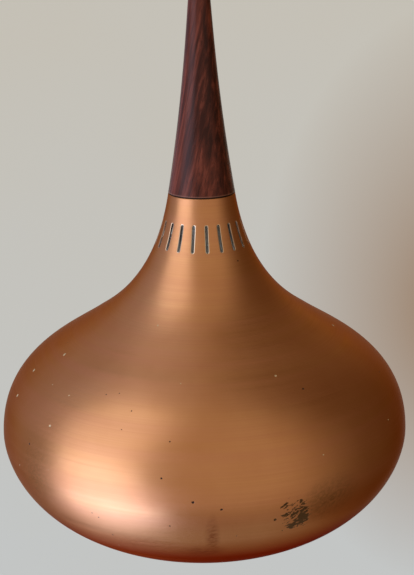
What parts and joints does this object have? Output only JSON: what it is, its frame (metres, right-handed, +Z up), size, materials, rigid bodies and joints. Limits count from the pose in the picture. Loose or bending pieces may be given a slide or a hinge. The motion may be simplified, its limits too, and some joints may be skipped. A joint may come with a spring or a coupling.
{
  "type": "pendant lamp",
  "caption": "Hanging lamp: an onion-shaped spun copper shade with a ring of vent slots under a tall tapered wooden neck, with screw lampholder and bulb inside.",
  "frame": {"origin": "centre of the cord bore's mouth, on the gland's flat top, where the lamp hangs", "axes": "+Z up along the lamp's axis; +X along the cord-grip screw, outwards; the picture looks along +Y"},
  "size_m": [0.41, 0.41, 0.565],
  "materials": {
    "rosewood": "dark red-brown turned wood, satin oil finish",
    "gland_brass": "turned brass, satin",
    "nylon": "white nylon",
    "screw_steel": "bright zinc",
    "zinc_tube": "zinc-plated steel tube",
    "copper": "spun copper, lathe-brushed and lacquered outside, painted pale inside",
    "zinc_plate": "zinc-plated pressed steel",
    "wood_screw": "yellow-passivated screws",
    "washer_steel": "zinc-plated",
    "terminal_brass": "bright brass",
    "tinned_tag": "tinned",
    "spring_steel": "spring steel",
    "porcelain": "white glazed porcelain",
    "shell_brass": "pressed brass shell",
    "bulb_cap_metal": "rolled aluminium",
    "black_glass": "black insulating glass",
    "solder": "solder",
    "clear_glass": "clear blown glass",
    "lead_wire": "nickel wire",
    "tungsten": "coiled tungsten"
  },
  "bodies": {
    "root": {"neck_cone": "rosewood", "cord_gland": "gland_brass", "neck_washer": "gland_brass", "cap_lock_screw": "screw_steel", "suspension_tube": "zinc_tube", "shade_flare": "copper", "shade_shoulder": "copper", "shade_belly": "copper", "shade_plate": "zinc_plate", "neck_screws": "wood_screw", "toothed_washer": "washer_steel", "lock_nut": "washer_steel", "earth_screw": "terminal_brass", "terminal_blocks": "terminal_brass", "terminal_screws": "terminal_brass", "contact_strap": "terminal_brass", "shell_strap": "terminal_brass", "insert_screws": "terminal_brass", "earth_tag": "tinned_tag", "contact_spring": "spring_steel", "holder_cap": "porcelain", "holder_insert": "porcelain", "holder_skirt": "porcelain", "thread_shell": "shell_brass"},
    "centre_contact": {"centre_contact": "terminal_brass"},
    "bulb_lift": {"bulb_contact": "solder"},
    "bulb": {"bulb_cap": "bulb_cap_metal", "bulb_insulator": "black_glass", "bulb_glass": "clear_glass", "bulb_stem": "clear_glass", "bulb_leads": "lead_wire", "bulb_supports": "lead_wire", "bulb_filament": "tungsten"},
    "grip_pad": {"grip_pad": "nylon"},
    "grip_screw": {"grip_screw": "screw_steel"}
  },
  "joints": [
    {"name": "contact_press", "type": "slide", "parent": "root", "child": "centre_contact", "axis": [0, 0, 1], "range_m": [0, 0.001], "stiffness_N_per_m": 1500, "deforming": ["contact_spring"]},
    {"name": "bulb_travel", "type": "slide", "parent": "root", "child": "bulb_lift", "axis": [0, 0, 1], "range_m": [-0.01815, 0]},
    {"name": "bulb_turn", "type": "hinge", "parent": "bulb_lift", "child": "bulb", "pos_m": [0, 0, 0], "axis": [0, 0, 1], "range_deg": [-1801, 0]},
    {"name": "grip_travel", "type": "slide", "parent": "root", "child": "grip_pad", "axis": [1, 0, 0], "range_m": [0, 0.002]},
    {"name": "grip_turn", "type": "hinge", "parent": "grip_pad", "child": "grip_screw", "pos_m": [0.007, 0, -0.0055], "axis": [1, 0, 0], "range_deg": [0, 1029]}
  ],
  "couplings": [
    {"joint": "bulb_turn", "follows": "bulb_travel", "rad_per_m": 1731.4},
    {"joint": "grip_turn", "follows": "grip_travel", "rad_per_m": 8976}
  ]
}
